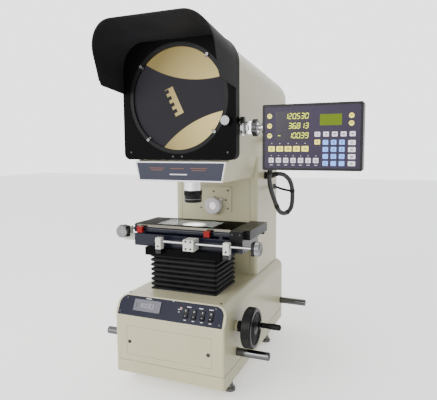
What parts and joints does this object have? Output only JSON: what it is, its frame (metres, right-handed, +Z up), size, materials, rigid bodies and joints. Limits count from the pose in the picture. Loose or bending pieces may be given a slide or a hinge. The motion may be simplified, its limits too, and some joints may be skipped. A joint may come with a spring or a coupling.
{
  "type": "optical comparator",
  "caption": "Vertical profile projector: round shadow screen under a hood, lifting cross-slide stage with drive rods, lens nose, handwheel base, and a readout on a swivel arm.",
  "frame": {"origin": "point on the bench under the lens axis, midway between the base's sides", "axes": "+X to the operator's right, +Y to the back of the machine, +Z up"},
  "size_m": [0.804, 0.7642, 1.0672],
  "materials": {
    "ivory_paint": "satin",
    "black_paint": "satin",
    "navy_paint": "satin",
    "blue_panel": "satin",
    "grey_paint": "satin",
    "dark_grey_paint": "satin",
    "table_black": "gloss",
    "ground_steel": "ground",
    "bar_chrome": "polished",
    "silver_aluminium": "turned",
    "black_plastic": "matte",
    "gloss_black": "gloss",
    "grey_plastic": "matte",
    "violet_keypad": "matte",
    "red_plastic": "gloss",
    "bellows_rubber": "matte",
    "cable_rubber": "matte",
    "optic_glass": "polished",
    "screen_glass": "ground",
    "mirror_glass": "polished"
  },
  "bodies": {
    "frame": {"base_tray": "ivory_paint", "base_housing": "ivory_paint", "front_cover": "ivory_paint", "control_panel": "navy_paint", "running_counter": "grey_plastic", "levelling_feet": "ground_steel", "carry_bars": "bar_chrome", "mains_inlet": "black_plastic", "lamp_housing": "silver_aluminium", "condenser_lens": "optic_glass", "bellows": "bellows_rubber", "column_housing": "ivory_paint", "illuminator_plate": "ivory_paint", "nose_housing": "ivory_paint", "nose_panel": "blue_panel", "lens_barrel": "silver_aluminium", "lens_ring": "black_paint", "lens_glass": "optic_glass", "head_housing": "ivory_paint", "projection_mirrors": "mirror_glass", "screen_frame": "black_paint", "hood": "black_paint", "arm_flange": "grey_paint", "harness_glands": "black_plastic", "signal_harness": "cable_rubber"},
    "lift": {"lift_plate": "black_paint", "lift_ram": "ground_steel", "x_drive_brackets": "grey_paint"},
    "lead_screw": {"lead_screw": "ground_steel"},
    "handwheel": {"handwheel_shaft": "ground_steel", "handwheel": "gloss_black"},
    "crank": {"crank_grip": "gloss_black"},
    "x_carriage": {"x_carriage": "navy_paint", "x_drive_nut": "grey_paint", "y_drive_brackets": "grey_paint", "y_scale_housing": "dark_grey_paint"},
    "x_drive": {"x_drive_rod": "ground_steel", "x_drive_knob": "silver_aluminium"},
    "y_table": {"table_body": "table_black", "table_plate": "ground_steel", "stage_glass": "optic_glass"},
    "y_drive": {"y_drive_rod": "ground_steel", "y_drive_knob": "silver_aluminium"},
    "clamp_left": {"clamp_knob_left": "red_plastic"},
    "clamp_right": {"clamp_knob_right": "red_plastic"},
    "screen": {"screen_ring": "black_paint", "screen_glass": "screen_glass", "screen_clips": "bar_chrome"},
    "ring_drive": {"ring_drive_knob": "black_plastic"},
    "ring_lock": {"ring_lock_knob": "silver_aluminium"},
    "illuminator": {"illuminator_tube": "silver_aluminium"},
    "arm": {"arm_knuckle": "ivory_paint"},
    "arm_clamp": {"arm_clamp_ring": "black_plastic"},
    "readout": {"readout_bar": "ivory_paint", "readout_case": "black_paint", "readout_keypad": "violet_keypad"},
    "rocker_a": {"rocker_1": "gloss_black"},
    "rocker_b": {"rocker_2": "gloss_black"},
    "rocker_c": {"rocker_3": "gloss_black"},
    "rocker_d": {"rocker_4": "gloss_black"}
  },
  "joints": [
    {"name": "z_lift", "type": "slide", "parent": "frame", "child": "lift", "axis": [0, 0, 1], "range_m": [-0.05, 0.04], "deforming": ["bellows"]},
    {"name": "lead_screw_turn", "type": "hinge", "parent": "frame", "child": "lead_screw", "pos_m": [0, -0.083, 0.12], "axis": [0, 0, 1], "range_deg": [-1450, 1810]},
    {"name": "handwheel_turn", "type": "hinge", "parent": "frame", "child": "handwheel", "pos_m": [0.224, -0.083, 0.197], "axis": [1, 0, 0], "range_deg": [-1450, 1810]},
    {"name": "crank_spin", "type": "hinge", "parent": "handwheel", "child": "crank", "pos_m": [0.27, -0.03844, 0.19074], "axis": [1, 0, 0], "continuous": true},
    {"name": "x_slide", "type": "slide", "parent": "lift", "child": "x_carriage", "axis": [1, 0, 0], "range_m": [-0.057, 0.093]},
    {"name": "x_drive_turn", "type": "hinge", "parent": "lift", "child": "x_drive", "pos_m": [0.2, -0.094, 0.436], "axis": [1, 0, 0], "range_deg": [-1375, 2240]},
    {"name": "y_slide", "type": "slide", "parent": "x_carriage", "child": "y_table", "axis": [0, 1, 0], "range_m": [-0.05, 0]},
    {"name": "y_drive_turn", "type": "hinge", "parent": "x_carriage", "child": "y_drive", "pos_m": [-0.216, -0.05, 0.456], "axis": [0, 1, 0], "range_deg": [-1205, 5]},
    {"name": "clamp_left_turn", "type": "hinge", "parent": "y_table", "child": "clamp_left", "pos_m": [-0.16, -0.06, 0.463], "axis": [0, 1, 0], "range_deg": [-90, 90]},
    {"name": "clamp_right_turn", "type": "hinge", "parent": "y_table", "child": "clamp_right", "pos_m": [0.076, -0.06, 0.463], "axis": [0, 1, 0], "range_deg": [-90, 90]},
    {"name": "screen_turn", "type": "hinge", "parent": "frame", "child": "screen", "pos_m": [0, -0.09, 0.8685], "axis": [0, 1, 0], "continuous": true},
    {"name": "ring_drive_turn", "type": "hinge", "parent": "frame", "child": "ring_drive", "pos_m": [0.19, -0.066, 0.803], "axis": [1, 0, 0], "continuous": true},
    {"name": "ring_lock_turn", "type": "hinge", "parent": "frame", "child": "ring_lock", "pos_m": [0.1569, -0.11, 0.8005], "axis": [0, 1, 0], "range_deg": [-90, 90]},
    {"name": "illuminator_turn", "type": "hinge", "parent": "frame", "child": "illuminator", "pos_m": [0, 0.17, 0.52], "axis": [0, 1, 0], "range_deg": [-60, 60]},
    {"name": "readout_swivel", "type": "hinge", "parent": "frame", "child": "arm", "pos_m": [0.196, -0.038, 0.781], "axis": [0, 0, 1], "range_deg": [-30, 30]},
    {"name": "arm_clamp_turn", "type": "hinge", "parent": "arm", "child": "arm_clamp", "pos_m": [0.22, -0.038, 0.781], "axis": [1, 0, 0], "range_deg": [-60, 60]},
    {"name": "readout_tilt", "type": "hinge", "parent": "arm", "child": "readout", "pos_m": [0.22, -0.038, 0.781], "axis": [1, 0, 0], "range_deg": [-25, 25]},
    {"name": "rocker_a_tilt", "type": "hinge", "parent": "frame", "child": "rocker_a", "pos_m": [0.055, -0.17143, 0.24773], "axis": [1, 0, 0], "range_deg": [0, 14]},
    {"name": "rocker_b_tilt", "type": "hinge", "parent": "frame", "child": "rocker_b", "pos_m": [0.0815, -0.17143, 0.24773], "axis": [1, 0, 0], "range_deg": [0, 14]},
    {"name": "rocker_c_tilt", "type": "hinge", "parent": "frame", "child": "rocker_c", "pos_m": [0.108, -0.17143, 0.24773], "axis": [1, 0, 0], "range_deg": [0, 14]},
    {"name": "rocker_d_tilt", "type": "hinge", "parent": "frame", "child": "rocker_d", "pos_m": [0.1345, -0.17143, 0.24773], "axis": [1, 0, 0], "range_deg": [0, 14]}
  ],
  "couplings": [
    {"joint": "lead_screw_turn", "follows": "z_lift", "rad_per_m": -628.32},
    {"joint": "handwheel_turn", "follows": "z_lift", "rad_per_m": -628.32},
    {"joint": "x_drive_turn", "follows": "x_slide", "rad_per_m": 418.88},
    {"joint": "y_drive_turn", "follows": "y_slide", "rad_per_m": 418.88},
    {"joint": "ring_drive_turn", "follows": "screen_turn", "ratio": 17}
  ]
}
